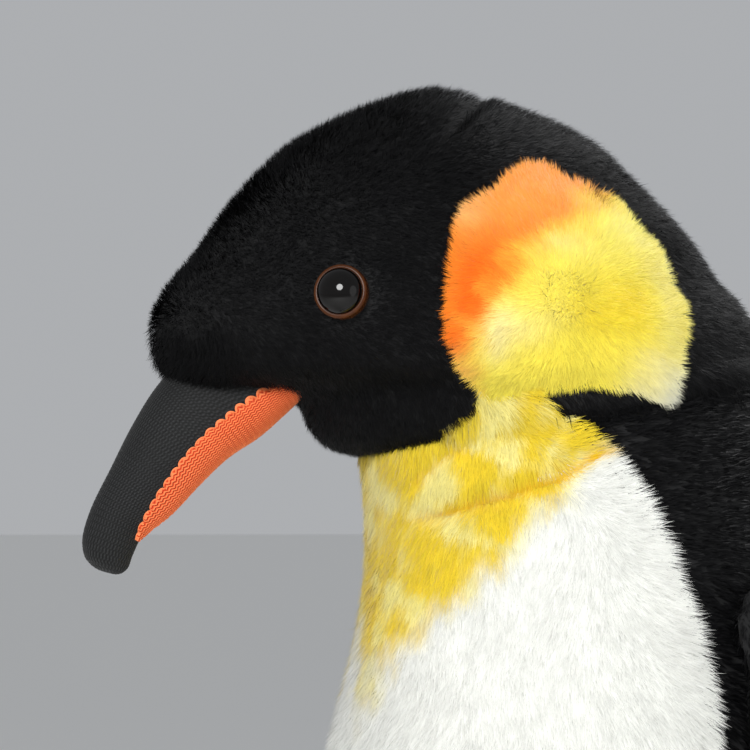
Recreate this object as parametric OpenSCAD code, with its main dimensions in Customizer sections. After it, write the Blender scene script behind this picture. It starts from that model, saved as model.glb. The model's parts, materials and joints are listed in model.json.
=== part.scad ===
// Plush emperor penguin, standing, with a turning head and two hanging flippers.
// The face looks along -Y, the left side is +X, and the floor is the plane z = 0.

/* [Overall] */
// Height of the neck seam above the floor, at the middle of the neck
neck_z = 305; // [240:1:380]
// Widest width of the sewn body
body_w = 152; // [120:1:200]
// Deepest depth of the sewn body
body_d = 136; // [110:1:180]
// Widest width of the sewn head
head_w = 91; // [70:1:120]
// Height of the sewn head above the neck seam
head_h = 73; // [56:1:90]

/* [Cloth] */
// Thickness of the plush backing and its packed pile
cloth_t = 2; // [1:0.1:3]
// Thickness of the knitted beak cover
knit_t = 1.2; // [0.6:0.1:2]
// Space between pieces that are sewn together
seam_gap = 0.1; // [0.05:0.05:0.3]
// Space between the cloth and what fills it
fill_gap = 0.8; // [0.6:0.1:1.5]
// Space between pieces that move past each other
move_gap = 0.5; // [0.3:0.1:1]

/* [Beak] */
// Height of the beak from its tip to where it enters the head
beak_h = 45; // [32:1:58]
// Greatest width of the beak
beak_w = 23; // [16:1:30]

/* [Eyes] */
// Diameter of the amber eye ring
iris_d = 12.4; // [9:0.1:16]
// Diameter of the black eye dome
dome_d = 10.6; // [7:0.1:14]
// How far the dome stands above its ring
dome_h = 3.3; // [2:0.1:5]
// Diameter of the lock washer
washer_d = 13; // [10:0.5:16]
// Diameter of the eye stem
stem_d = 3.6; // [3:0.1:5]

/* [Flippers] */
// Length of a flipper from its seam to its tip
flipper_l = 126; // [90:1:160]
// Widest width of a flipper
flipper_w = 42; // [30:1:56]
// Thickness of a flipper's filling
flipper_fill = 4; // [2:0.5:8]
// Lean of the hanging flipper away from upright
flipper_lean = 12; // [11:0.5:20]

/* [Feet and tail] */
// Length of a foot
foot_l = 52; // [40:1:66]
// Width of a foot across its toes
foot_w = 44; // [34:1:50]
// Height of a foot at its heel
foot_h = 14; // [10:1:16]
// Length of the tail beyond the body
tail_l = 34; // [20:1:50]
// Width of the tail
tail_w = 40; // [28:1:56]

/* [Show] */
// Which piece is shown

/* [Hidden] */

black = [0.04, 0.04, 0.045];
cream = [0.93, 0.92, 0.86];
sun = [0.95, 0.62, 0.15];
knit_orange = [0.9, 0.36, 0.12];
fibre = [0.96, 0.96, 0.95];

base_t = cloth_t;
hw = body_w / 2;
hd = body_d / 2;
k = neck_z;
wh = head_w / 2;

// A row is height, tilt, middle y, half width, front half depth, back half depth, taper.
torso_rows = [
    [base_t + seam_gap, 0, 0, 0.60 * hw, 0.55 * hd, 0.55 * hd, 0],
    [0.022 * k, 0, 0, 0.68 * hw, 0.64 * hd, 0.64 * hd, 0],
    [0.052 * k, 0, 0, 0.76 * hw, 0.72 * hd, 0.72 * hd, 0],
    [0.118 * k, 0, -2, 0.88 * hw, 0.87 * hd, 0.85 * hd, 0],
    [0.230 * k, 0, -4, 0.965 * hw, 0.99 * hd, 0.95 * hd, 0],
    [0.360 * k, 0, -5, hw, 1.05 * hd, 0.995 * hd, 0],
    [0.492 * k, 0, -4, 0.985 * hw, 1.06 * hd, hd, 0],
    [0.623 * k, 0, -2, 0.93 * hw, 1.04 * hd, 0.97 * hd, 0],
    [0.748 * k, 1, 0, 0.84 * hw, 0.965 * hd, 0.905 * hd, 0],
    [0.862 * k, 4, 0, 0.73 * hw, 0.85 * hd, 0.81 * hd, 0],
    [0.938 * k, 7, -5, 0.65 * hw, 0.745 * hd, 0.735 * hd, 0],
    [k, 9, -9, 1.002 * wh, 47.6, 46.6, 0]
];
torso_top = len(torso_rows) - 1;

hk = head_h / 73;
head_rows = [
    [k + move_gap, 9, -9, 0.98 * wh, 57, 46.5, 0.18],
    [k + 4.5 * hk, 8.5, -12, wh, 60, 48, 0.22],
    [k + 9 * hk, 4.5, -16, wh, 62, 49, 0.24],
    [k + 14.5 * hk, 4.5, -20, 0.99 * wh, 81, 50, 0.25],
    [k + 21 * hk, 3.5, -25, 0.98 * wh, 83, 51, 0.24],
    [k + 28 * hk, 2, -29, 0.95 * wh, 77, 49.5, 0.22],
    [k + 36 * hk, 1, -33, 0.89 * wh, 65, 48.5, 0.18],
    [k + 45 * hk, 0, -36, 0.80 * wh, 55, 44, 0.12],
    [k + 53 * hk, 0, -39, 0.68 * wh, 45, 39.5, 0.08],
    [k + 60.5 * hk, 0, -41, 0.54 * wh, 33.5, 33, 0.04],
    [k + 66.5 * hk, 0, -42, 0.38 * wh, 22, 22, 0],
    [k + 71 * hk, 0, -43, 0.20 * wh, 10, 11, 0],
    [k + 73 * hk, 0, -43, 0.03 * wh, 1.4, 1.4, 0]
];
head_top = len(head_rows) - 1;

bw = beak_w / 2;
bk = beak_h / 45;
beak_tip_z = neck_z + 7.5 - beak_h;
// The beak curves from steep at its tip to a slant of 50 degrees inside the head.
beak_rows = [
    [beak_tip_z, -15, -119.3, 0.03 * bw, 0.4, 0.4, 0],
    [beak_tip_z + 0.9 * bk, -15, -119.4, 0.28 * bw, 3.4, 3.4, 0],
    [beak_tip_z + 2.8 * bk, -16, -119.5, 0.42 * bw, 5.2, 5.2, 0],
    [beak_tip_z + 6.6 * bk, -20, -119.1, 0.51 * bw, 6.1, 6.1, 0],
    [beak_tip_z + 12.2 * bk, -28, -116.7, 0.60 * bw, 6.8, 6.6, 0],
    [beak_tip_z + 19.0 * bk, -35, -111.5, 0.72 * bw, 8.5, 8.2, 0],
    [beak_tip_z + 26.4 * bk, -40, -105.2, 0.85 * bw, 11.0, 8.6, 0],
    [beak_tip_z + 32.5 * bk, -45, -97.7, 0.96 * bw, 14.4, 7.8, 0],
    [beak_tip_z + 37.5 * bk, -48, -90.0, bw, 16.6, 7.6, 0],
    [beak_tip_z + 41.6 * bk, -50, -83.5, bw, 16.0, 7.4, 0]
];
beak_top = len(beak_rows) - 1;
// The hole for the beak goes this far past the end of it.
beak_lift = 0.6;
beak_end = beak_rows[beak_top];
beak_space_rows = concat([for (i = [0:beak_top - 1]) beak_rows[i]],
    [beak_end + [beak_lift * cos(beak_end[1]), 0, -beak_lift * sin(beak_end[1]), 0, 0, 0, 0]]);

// Edges of the orange strip on the side of the beak, in degrees around from its ridge.
strip_front = [[3.8, 138], [4.5, 120], [5, 111], [6, 103], [7, 92], [9, 88]];
strip_back = [[3.8, 148], [4.5, 160], [5, 164], [6, 166], [9, 166]];

// Where the bib meets the black back, in degrees around from the front.
bib_edge = [[0, 62], [2, 74], [4, 92], [6, 102], [8, 108], [9, 104], [10, 97], [11, 84]];
// Front and back edges of an ear patch, in degrees around from the front.
ear_front = [[0, 64], [1, 66], [2, 69], [4, 74], [5, 77], [6, 80], [7, 84], [8, 95], [8.5, 104]];
ear_back = [[0, 110], [1, 113], [2, 119], [4, 130], [5, 133], [6, 134], [7, 132], [8, 122], [8.5, 108]];
ear_top = 8.5;

eye_u = 58.5;
eye_v = 5;
stem_l = 13;
washer_t = 1.5;
iris_t = 1.6;
pocket_gap = 0.4;

bag_top = 1.15 + 2;
board_round = 72;

// Shoulder point of a flipper, in degrees around from the front and in rows.
shoulder_u = 120;
shoulder_v = 9;
skin_t = 1.6;
flipper_t = 2 * skin_t + flipper_fill;
flipper_off = 4;

// ---- faces ----

function spline(a, b, c, d, t) =
    0.5 * (2 * b + (c - a) * t + (2 * a - 5 * b + 4 * c - d) * t * t
    + (3 * b - a - 3 * c + d) * t * t * t);

function row_at(rows, v) =
    let (n = len(rows) - 1, i = max(0, min(floor(v), n - 1)))
    spline(rows[max(i - 1, 0)], rows[i], rows[i + 1], rows[min(i + 2, n)], v - i);

function face_point(rows, u, v) =
    let (r = row_at(rows, v), c = cos(u), d = c > 0 ? -r[4] * c : -r[5] * c)
    [r[3] * sin(u) * (1 - r[6] * max(c, 0)), r[2] + d * cos(r[1]), r[0] + d * sin(r[1])];

function unit(a) = a / norm(a);

function outward(rows, u, v) =
    let (n = len(rows) - 1, e = 0.02, v0 = max(v - e, 0), v1 = min(v + e, n))
    unit(cross(face_point(rows, u + 1, v) - face_point(rows, u - 1, v),
        face_point(rows, u, v1) - face_point(rows, u, v0)));

function inset(rows, u, v, depth) = face_point(rows, u, v) - depth * outward(rows, u, v);

// ---- closed solids from a face ----

// A cloth panel between two edges, from one row to another.
module panel(rows, lo, hi, v0, v1, nu, nv, outer, inner) {
    w = nu + 1;
    n = w * (nv + 1);
    grid = [for (d = [outer, inner]) for (j = [0:nv]) for (i = [0:nu])
        let (v = v0 + (v1 - v0) * j / nv, a = lookup(v, lo), b = lookup(v, hi))
        inset(rows, a + (b - a) * i / nu, v, d)];
    skin = [for (j = [0:nv - 1]) for (i = [0:nu - 1])
        let (p = j * w + i) each [
            [p, p + w, p + w + 1], [p, p + w + 1, p + 1],
            [n + p, n + p + w + 1, n + p + w], [n + p, n + p + 1, n + p + w + 1]]];
    ends = [for (i = [0:nu - 1]) each [
        [i, i + 1, n + i + 1], [i, n + i + 1, n + i],
        let (p = nv * w + i) [p, n + p, n + p + 1],
        let (p = nv * w + i) [p, n + p + 1, p + 1]]];
    sides = [for (j = [0:nv - 1]) each [
        let (p = j * w) [p, n + p, n + p + w],
        let (p = j * w) [p, n + p + w, p + w],
        let (p = j * w + nu) [p, p + w, n + p + w],
        let (p = j * w + nu) [p, n + p + w, n + p]]];
    polyhedron(grid, concat(skin, ends, sides), convexity = 6);
}

// A closed filling between two rows, set in from the face.
module plug(rows, v0, v1, nu, nv, depth) {
    rings = [for (j = [0:nv]) for (i = [0:nu - 1])
        inset(rows, 360 * i / nu, v0 + (v1 - v0) * j / nv, depth)];
    low = [for (i = [0:nu - 1]) rings[i]];
    high = [for (i = [0:nu - 1]) rings[nv * nu + i]];
    middle = function (ring) [for (a = [0:2]) let (s = [for (p = ring) p[a]]) (min(s) + max(s)) / 2];
    walls = [for (j = [0:nv - 1]) for (i = [0:nu - 1])
        let (p = j * nu + i, q = j * nu + (i + 1) % nu) each [
            [p, p + nu, q + nu], [p, q + nu, q]]];
    caps = [for (i = [0:nu - 1]) each [
        [(i + 1) % nu, nu * (nv + 1), i],
        [nv * nu + i, nu * (nv + 1) + 1, nv * nu + (i + 1) % nu]]];
    polyhedron(concat(rings, [middle(low), middle(high)]), concat(walls, caps), convexity = 4);
}

function const(a) = [[0, a], [20, a]];
function shift(table, a) = [for (p = table) [p[0], p[1] + a]];
function mirror_edge(table) = [for (p = table) [p[0], 360 - p[1]]];

// ---- body ----

module bib_panel() {
    color(cream)
    panel(torso_rows, [for (p = bib_edge) [p[0], -p[1]]], bib_edge, 0, torso_top, 20, 20, 0, cloth_t);
}

module back_panel(side) {
    edge = shift(bib_edge, 0.2);
    color(black)
    mirror([side < 0 ? 1 : 0, 0, 0])
    panel(torso_rows, edge, const(179.8), 0, torso_top, 10, 20, 0, cloth_t);
}

module oval(a, b, t) {
    linear_extrude(t)
    polygon([for (i = [0:board_round - 1]) [a * cos(360 * i / board_round), b * sin(360 * i / board_round)]]);
}

module base_panel() {
    color(black)
    oval(0.60 * hw, 0.55 * hd, base_t);
}

module pellet_bag() {
    wall = 1;
    color(cream)
    difference() {
        plug(torso_rows, 0, bag_top, 32, 5, cloth_t + fill_gap);
        plug(torso_rows, 0.2, bag_top - 0.2, 32, 5, cloth_t + fill_gap + wall);
    }
}

module pellets() {
    color(fibre)
    plug(torso_rows, 0.25, bag_top - 0.25, 32, 5, cloth_t + 2 * fill_gap + 0.6);
}

module body_filling() {
    color(fibre)
    plug(torso_rows, bag_top + 0.02, torso_top, 32, 12, cloth_t + fill_gap);
}

// ---- feet ----

function foot_edge(inset) = [
    for (i = [0:59])
    let (a = 6 * i, toe = 1 + (sin(a) < -0.1 ? 0.07 * cos(3 * (a + 90)) * -sin(a) : 0))
    [(foot_w / 2 * (0.86 - 0.14 * sin(a)) - inset) * cos(a) * toe, (foot_l / 2 - inset) * sin(a) * toe]
];

module foot_at(side) {
    mirror([side < 0 ? 1 : 0, 0, 0])
    translate([0.37 * hw, -0.52 * hd - 0.62 * foot_l, 0])
    rotate([0, 0, 9])
    children();
}

module body_space() {
    plug(torso_rows, 0, 6, 32, 8, -seam_gap);
}

module foot_form(inset, bottom, top, drop) {
    difference() {
        translate([0, 0, bottom])
        linear_extrude(top - bottom)
        polygon(foot_edge(inset));
        translate([-foot_w, -foot_l, foot_h - drop])
        rotate([14, 0, 0])
        translate([0, -foot_l, -foot_h / 2 + 1])
        cube([2 * foot_w, 2.2 * foot_l, foot_h]);
    }
}

module foot_upper(side) {
    color(black)
    difference() {
        foot_at(side)
        difference() {
            foot_form(0, skin_t, foot_h, 0);
            foot_form(skin_t + seam_gap, skin_t - 1, foot_h - skin_t, skin_t);
        }
        body_space();
    }
}

module foot_sole(side) {
    color(black)
    difference() {
        foot_at(side)
        linear_extrude(skin_t)
        polygon(foot_edge(0));
        body_space();
        translate([0, 0, -1])
        oval(0.60 * hw + seam_gap, 0.55 * hd + seam_gap, base_t + 1);
    }
}

module foot_filling(side) {
    color(fibre)
    difference() {
        foot_at(side)
        foot_form(skin_t + 2 * seam_gap, skin_t, foot_h - skin_t - seam_gap, skin_t + seam_gap);
        body_space();
    }
}

// ---- tail ----

module tail_layer(low, high, narrow) {
    root_y = 0.80 * hd;
    root_z = 26;
    color(black)
    difference() {
        translate([0, root_y, root_z])
        rotate([-25, 0, 0])
        translate([0, 0, low])
        linear_extrude(high - low)
        polygon([
            [-tail_w / 2 + narrow, 0], [tail_w / 2 - narrow, 0],
            [0.30 * tail_w - narrow, tail_l], [0.12 * tail_w, tail_l + 9 - narrow],
            [-0.12 * tail_w, tail_l + 9 - narrow], [-0.30 * tail_w + narrow, tail_l]
        ]);
        body_space();
    }
}

module tail_upper() {
    tail_layer(3, 3 + skin_t, 0);
}

module tail_lower() {
    tail_layer(-3 - skin_t, -3, 0);
}

module tail_filling() {
    tail_layer(-3, 3, 2);
}

// ---- head ----

module beak_space() {
    plug(beak_space_rows, 0, beak_top, 24, 18, -seam_gap);
}

// Stands its children on an eye's place, with Z along the eye's axis.
module eye_at(side) {
    p = face_point(head_rows, eye_u, eye_v);
    n = outward(head_rows, eye_u, eye_v);
    mirror([side < 0 ? 1 : 0, 0, 0])
    translate(p)
    rotate([0, acos(n[2]), atan2(n[1], n[0])])
    children();
}

module cheek(side) {
    color(black)
    difference() {
        mirror([side < 0 ? 1 : 0, 0, 0])
        panel(head_rows, const(0.2), concat(shift(ear_front, -0.2), [[12, 103.8]]), 0, head_top, 9, 18, 0, cloth_t);
        beak_space();
        eye_at(side)
        translate([0, 0, -6])
        cylinder(d = stem_d + 0.2, h = 12, $fn = 48);
    }
}

module ear_patch(side) {
    color(sun)
    mirror([side < 0 ? 1 : 0, 0, 0])
    panel(head_rows, ear_front, ear_back, 0, ear_top, 6, 12, 0, cloth_t);
}

module nape_panel() {
    edge = concat([for (p = ear_back) if (p[0] < 8.4) [p[0], p[1] + 0.3]], [[8.6, 104], [12, 104]]);
    color(black)
    panel(head_rows, edge, mirror_edge(edge), 0, head_top, 16, 18, 0, cloth_t);
}

module head_filling() {
    color(fibre)
    difference() {
        plug(head_rows, 0.15, head_top - 0.4, 48, 22, cloth_t + 1.5 * fill_gap);
        beak_space();
        for (side = [-1, 1])
            eye_at(side)
            translate([0, 0, -stem_l - 1])
            cylinder(d = washer_d + 2 * pocket_gap, h = stem_l, $fn = 48);
    }
}

// ---- beak ----

module beak_cover() {
    color(black)
    difference() {
        plug(beak_rows, 0, beak_top, 24, 18, 0);
        plug(beak_rows, 1.6, beak_top - 0.2, 24, 15, knit_t);
    }
}

module beak_filling() {
    color(fibre)
    plug(beak_rows, 1.7, beak_top - 0.3, 24, 14, knit_t + seam_gap);
}

module beak_strip(side) {
    strip_t = 0.7;
    color(knit_orange)
    difference() {
        mirror([side < 0 ? 1 : 0, 0, 0])
        panel(beak_rows, strip_front, strip_back, 3.8, beak_top - 0.6, 6, 12, -seam_gap - strip_t, -seam_gap);
        plug(head_rows, 0, 6, 32, 8, -0.6);
    }
}

// ---- eyes ----

module eye_iris(side) {
    color([0.45, 0.2, 0.06])
    eye_at(side)
    rotate_extrude($fn = 64)
    polygon([[stem_d / 2 + 0.05, 0.05], [iris_d / 2, 0.05], [iris_d / 2, 0.5],
        [dome_d / 2, iris_t], [stem_d / 2 + 0.05, iris_t]]);
}

module eye_dome(side) {
    arc = [for (i = [0:8]) [dome_d / 2 * cos(11.25 * i), iris_t + 0.02 + dome_h * sin(11.25 * i)]];
    color([0.01, 0.01, 0.012])
    eye_at(side)
    rotate_extrude($fn = 64)
    polygon(concat(arc, [[0, -stem_l], [stem_d / 2, -stem_l], [stem_d / 2, iris_t + 0.02]]));
}

module eye_washer(side) {
    color(fibre)
    eye_at(side)
    translate([0, 0, -cloth_t - 0.9 - washer_t])
    difference() {
        cylinder(d = washer_d, h = washer_t, $fn = 64);
        translate([0, 0, -1])
        cylinder(d = stem_d, h = washer_t + 2, $fn = 64);
    }
}

// ---- flippers ----

// Half of a flipper's outline from its seam to its tip.
function flipper_half(s) = flipper_w / 2 * (s < 0.45 ? 0.88 + 0.12 * sin(200 * s)
    : (0.9988 - 0.5 * pow((s - 0.45) / 0.55, 1.6)));

module flipper_outline(inset) {
    n = 14;
    tip_r = flipper_half(1) - inset;
    reach = flipper_l - flipper_half(1);
    front = [for (i = [0:n]) [-(flipper_half(i / n) - inset), -max(inset, reach * i / n)]];
    back = [for (i = [n:-1:0]) [flipper_half(i / n) - inset, -max(inset, reach * i / n)]];
    round_tip = [for (i = [1:9]) [-tip_r * cos(18 * i), -reach - tip_r * sin(18 * i)]];
    polygon(concat(front, round_tip, back));
}

// Stands its children with X outward, Z along the flipper and the hinge at the origin.
module flipper_at(side) {
    p = face_point(torso_rows, shoulder_u, shoulder_v);
    mirror([side < 0 ? 1 : 0, 0, 0])
    translate([p[0], p[1], p[2]])
    rotate([0, 0, shoulder_u - 90])
    translate([flipper_off + flipper_t / 2, 0, 0])
    rotate([0, -flipper_lean, 0])
    children();
}

module flipper_layer(low, high, inset) {
    translate([low - flipper_t / 2, 0, 0])
    rotate([90, 0, 90])
    linear_extrude(high - low)
    flipper_outline(inset);
}

module flipper_outer(side) {
    color(black)
    flipper_at(side)
    flipper_layer(skin_t + flipper_fill, flipper_t, 0);
}

module flipper_inner(side) {
    color(black)
    flipper_at(side)
    flipper_layer(0, skin_t, 0);
}

module flipper_filling(side) {
    color(fibre)
    flipper_at(side)
    flipper_layer(skin_t, skin_t + flipper_fill, 2);
}

bib_panel();
back_panel(1);  // back_panel_left
back_panel(-1);  // back_panel_right
base_panel();
pellet_bag();
pellets();
body_filling();
foot_upper(1);  // foot_left_upper
foot_sole(1);  // foot_left_sole
foot_filling(1);  // foot_left_filling
foot_upper(-1);  // foot_right_upper
foot_sole(-1);  // foot_right_sole
foot_filling(-1);  // foot_right_filling
tail_upper();
tail_lower();
tail_filling();
cheek(1);  // cheek_left
cheek(-1);  // cheek_right
ear_patch(1);  // ear_patch_left
ear_patch(-1);  // ear_patch_right
nape_panel();
head_filling();
beak_cover();
beak_filling();
beak_strip(1);  // beak_strip_left
beak_strip(-1);  // beak_strip_right
eye_iris(1);  // eye_iris_left
eye_dome(1);  // eye_dome_left
eye_washer(1);  // eye_washer_left
eye_iris(-1);  // eye_iris_right
eye_dome(-1);  // eye_dome_right
eye_washer(-1);  // eye_washer_right
flipper_outer(1);  // flipper_left_outer
flipper_inner(1);  // flipper_left_inner
flipper_filling(1);  // flipper_left_filling
flipper_outer(-1);  // flipper_right_outer
flipper_inner(-1);  // flipper_right_inner
flipper_filling(-1);  // flipper_right_filling
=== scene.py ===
import json
import math

import bmesh
import bpy
import numpy as np
from mathutils import Matrix, Vector


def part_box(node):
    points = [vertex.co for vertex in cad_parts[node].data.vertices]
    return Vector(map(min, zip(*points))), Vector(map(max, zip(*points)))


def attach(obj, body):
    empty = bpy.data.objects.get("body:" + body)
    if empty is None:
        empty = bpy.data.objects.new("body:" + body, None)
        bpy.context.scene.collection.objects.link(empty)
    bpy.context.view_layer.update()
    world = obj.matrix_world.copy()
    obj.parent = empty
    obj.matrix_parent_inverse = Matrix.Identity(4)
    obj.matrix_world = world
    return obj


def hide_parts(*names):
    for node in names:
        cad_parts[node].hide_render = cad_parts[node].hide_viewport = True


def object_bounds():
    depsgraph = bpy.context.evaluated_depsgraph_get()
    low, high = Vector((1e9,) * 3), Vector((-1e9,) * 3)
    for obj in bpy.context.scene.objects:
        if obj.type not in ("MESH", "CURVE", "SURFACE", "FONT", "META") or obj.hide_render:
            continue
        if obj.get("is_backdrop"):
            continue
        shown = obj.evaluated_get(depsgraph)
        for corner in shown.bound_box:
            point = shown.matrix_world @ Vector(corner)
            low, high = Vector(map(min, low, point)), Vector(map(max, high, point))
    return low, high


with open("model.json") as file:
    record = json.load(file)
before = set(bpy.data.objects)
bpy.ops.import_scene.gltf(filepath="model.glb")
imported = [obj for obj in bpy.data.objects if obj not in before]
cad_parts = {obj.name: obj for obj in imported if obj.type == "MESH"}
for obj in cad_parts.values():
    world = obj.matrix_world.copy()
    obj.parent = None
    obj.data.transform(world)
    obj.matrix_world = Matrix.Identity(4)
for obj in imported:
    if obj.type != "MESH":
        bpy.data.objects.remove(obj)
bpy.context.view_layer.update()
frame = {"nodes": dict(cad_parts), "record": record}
joints = {j["name"]: j for j in frame["record"]["behaviour"]["joints"]}
MM = 0.001


# ---------------------------------------------------------------- sewn body
# The body is a stuffed bag: a cream front from throat to base and two black
# back panels. All three are cut from plush and sewn edge to edge, so each is
# a thin curved sheet on one egg-shaped form that widens down from the neck.
neck_z = joints["head_turn"]["pos_m"][2] / MM
half_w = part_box("base_panel")[1].x / MM / 0.60
half_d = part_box("base_panel")[1].y / MM / 0.55

# height, tilt, middle y, half width, front depth, back depth, front taper
torso_rows = np.array([
    [1.6, 0, 0, 0.575 * half_w, 0.525 * half_d, 0.525 * half_d, 0],
    [0.022 * neck_z, 0, 0, 0.68 * half_w, 0.64 * half_d, 0.64 * half_d, 0],
    [0.052 * neck_z, 0, 0, 0.76 * half_w, 0.72 * half_d, 0.72 * half_d, 0],
    [0.118 * neck_z, 0, -2, 0.88 * half_w, 0.87 * half_d, 0.85 * half_d, 0],
    [0.230 * neck_z, 0, -4, 0.965 * half_w, 0.99 * half_d, 0.95 * half_d, 0],
    [0.360 * neck_z, 0, -5, half_w, 1.05 * half_d, 0.995 * half_d, 0],
    [0.492 * neck_z, 0, -4, 0.985 * half_w, 1.06 * half_d, half_d, 0],
    [0.623 * neck_z, 0, -2, 0.93 * half_w, 1.04 * half_d, 0.97 * half_d, 0],
    [0.748 * neck_z, 1, 0, 0.84 * half_w, 0.965 * half_d, 0.905 * half_d, 0],
    [0.862 * neck_z, 4, 0, 0.73 * half_w, 0.875 * half_d, 0.81 * half_d, 0],
    [0.938 * neck_z, 7, -5, 0.64 * half_w, 0.78 * half_d, 0.73 * half_d, 0],
    [neck_z, 9, -9, 0.565 * half_w, 0.745 * half_d, 0.66 * half_d, 0],
])


def unit(a):
    return a / np.maximum(np.linalg.norm(a, axis=-1, keepdims=True), 1e-12)


def smooth(a, b, x):
    """0 below a, 1 above b, and a smooth rise between them."""
    t = np.clip((x - a) / (b - a), 0, 1)
    return t * t * (3 - 2 * t)


def on_form(rows, u, v):
    """Places in mm on a form of stacked rings: u in degrees around from the front, v in rows."""
    u, v = np.broadcast_arrays(np.asarray(u, float), np.asarray(v, float))
    last = len(rows) - 1
    i = np.clip(np.floor(v).astype(int), 0, last - 1)
    t = (v - i)[..., None]
    a, b = rows[np.maximum(i - 1, 0)], rows[i]
    c, d = rows[i + 1], rows[np.minimum(i + 2, last)]
    r = 0.5 * (2 * b + (c - a) * t + (2 * a - 5 * b + 4 * c - d) * t ** 2
               + (3 * b - a - 3 * c + d) * t ** 3)
    turn, tilt = np.radians(u), np.radians(r[..., 1])
    out = np.where(np.cos(turn) > 0, -r[..., 4] * np.cos(turn), -r[..., 5] * np.cos(turn))
    side = r[..., 3] * np.sin(turn) * (1 - r[..., 6] * np.maximum(np.cos(turn), 0))
    return np.stack([side, r[..., 2] + out * np.cos(tilt), r[..., 0] + out * np.sin(tilt)], -1)


def away(rows, u, v):
    """The outward direction of a form at a place on it."""
    last = len(rows) - 1
    low, high = np.maximum(v - 0.02, 0), np.minimum(v + 0.02, last)
    return unit(np.cross(on_form(rows, u + 1, v) - on_form(rows, u - 1, v),
                         on_form(rows, u, high) - on_form(rows, u, low)))


def laid_on(name, across, up, place):
    """A sheet of quads laid over a shape: place(s, t) gives its places in mm for s and t from 0 to 1."""
    bm = bmesh.new()
    bm.loops.layers.uv.new("OFBake")
    bmesh.ops.create_grid(bm, x_segments=across, y_segments=up, size=0.5, calc_uvs=True)
    flat = np.array([v.co[:2] for v in bm.verts]) + 0.5
    for v, p in zip(bm.verts, place(flat[:, 0], flat[:, 1]) * MM):
        v.co = p
    bmesh.ops.remove_doubles(bm, verts=bm.verts, dist=1e-6)
    me = bpy.data.meshes.new(name)
    bm.to_mesh(me)
    bm.free()
    me.polygons.foreach_set("use_smooth", [True] * len(me.polygons))
    ob = bpy.data.objects.new(name, me)
    bpy.context.scene.collection.objects.link(ob)
    return ob


def lined(ob):
    """Gives a skin the thickness of its woven backing, on the inside."""
    mod = ob.modifiers.new("backing", "SOLIDIFY")
    mod.thickness, mod.offset = 1.4 * MM, -1


def across(p):
    """Distance in mm along the body as seen from its side, a little turned to the front."""
    return p[..., 1] + 0.14 * np.abs(p[..., 0])


def bib_edge(z):
    """How far back the cream front reaches on the side of the body, measured across at height z."""
    heights = [0, 20, 60, 150, 226, 234, 243, 251, 259, 266, 274, 280, 286.5, 293, 296.5, 299, 302, 306, 310]
    reach = [6, 12, 18, 20, 18.5, 18, 16.5, 14.5, 12, 9.5, 7, 4, 0, -4, -6.5, -10, -13.5, -17.5, -21]
    return np.interp(z, heights, reach)


def sway(p, size, seed):
    """A smooth random number from about -1 to 1 at each place, with lumps of the given size in mm."""
    q = p / size
    k = np.random.default_rng(seed).normal(size=(6, 3)) * 1.1
    ph = np.random.default_rng(seed + 1).uniform(0, 6.28, 6)
    return sum(np.sin(q @ k[i] * 2 + ph[i]) for i in range(6)) / 3.2


def fold(p):
    """Depth in mm of the sewn-in folds at the throat, where the head is bowed over the chest."""
    q, z = across(p), p[..., 2]
    line = np.interp(q, [-60, -48, -42, -30, -16, -5, 3], [282, 282, 283, 286.5, 291, 295.5, 299])
    crease = np.exp(-((z - line) / 1.7) ** 2) * smooth(-52, -38, q) * smooth(3, -5, q)
    line2 = np.interp(q, [-48, -44, -41, -35], [290, 293, 296, 299])
    crease2 = np.exp(-((z - line2) / 1.6) ** 2) * smooth(-50, -45, q) * smooth(-33, -37, q)
    return 2.4 * crease + 1.0 * crease2


def torso_at(u, v):
    p, n = on_form(torso_rows, u, v), away(torso_rows, u, v)
    lump = 0.9 * sway(p, 34, 5) * smooth(0, 60, p[..., 2])
    return p + n * (lump - fold(p))[..., None]


def edge_angle(v):
    """The angle from the front at which the bib ends, row by row."""
    v = np.asarray(v, float)
    low, high = np.full(v.shape, 30.0), np.full(v.shape, 150.0)
    for _ in range(24):
        mid = (low + high) / 2
        p = on_form(torso_rows, mid, v)
        inside = across(p) < bib_edge(p[..., 2])
        low, high = np.where(inside, mid, low), np.where(inside, high, mid)
    return (low + high) / 2


top_row = len(torso_rows) - 1
bib_skin = laid_on("bib_skin", 96, 110, lambda s, t: torso_at(
    (2 * s - 1) * edge_angle(t * top_row), t * top_row))
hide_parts("bib_panel")
back_skins = []
for side, word in ((1, "left"), (-1, "right")):
    def back_place(s, t, side=side):
        a = edge_angle(t * top_row)
        u = a + (180 - a) * (s if side > 0 else 1 - s)
        return torso_at(side * u, t * top_row)
    back_skins.append(laid_on("back_skin_" + word, 48, 110, back_place))
    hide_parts("back_panel_" + word)


# ---------------------------------------------------------------- plush pile
# Plush is a woven backing with a standing pile. Each fibre is a narrow blade
# that bends with the brushing, and neighbours lean together in small tufts.
def coloured(colour, p):
    """The same colour for every place."""
    return colour[None] * np.ones((len(p), 1))


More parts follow.
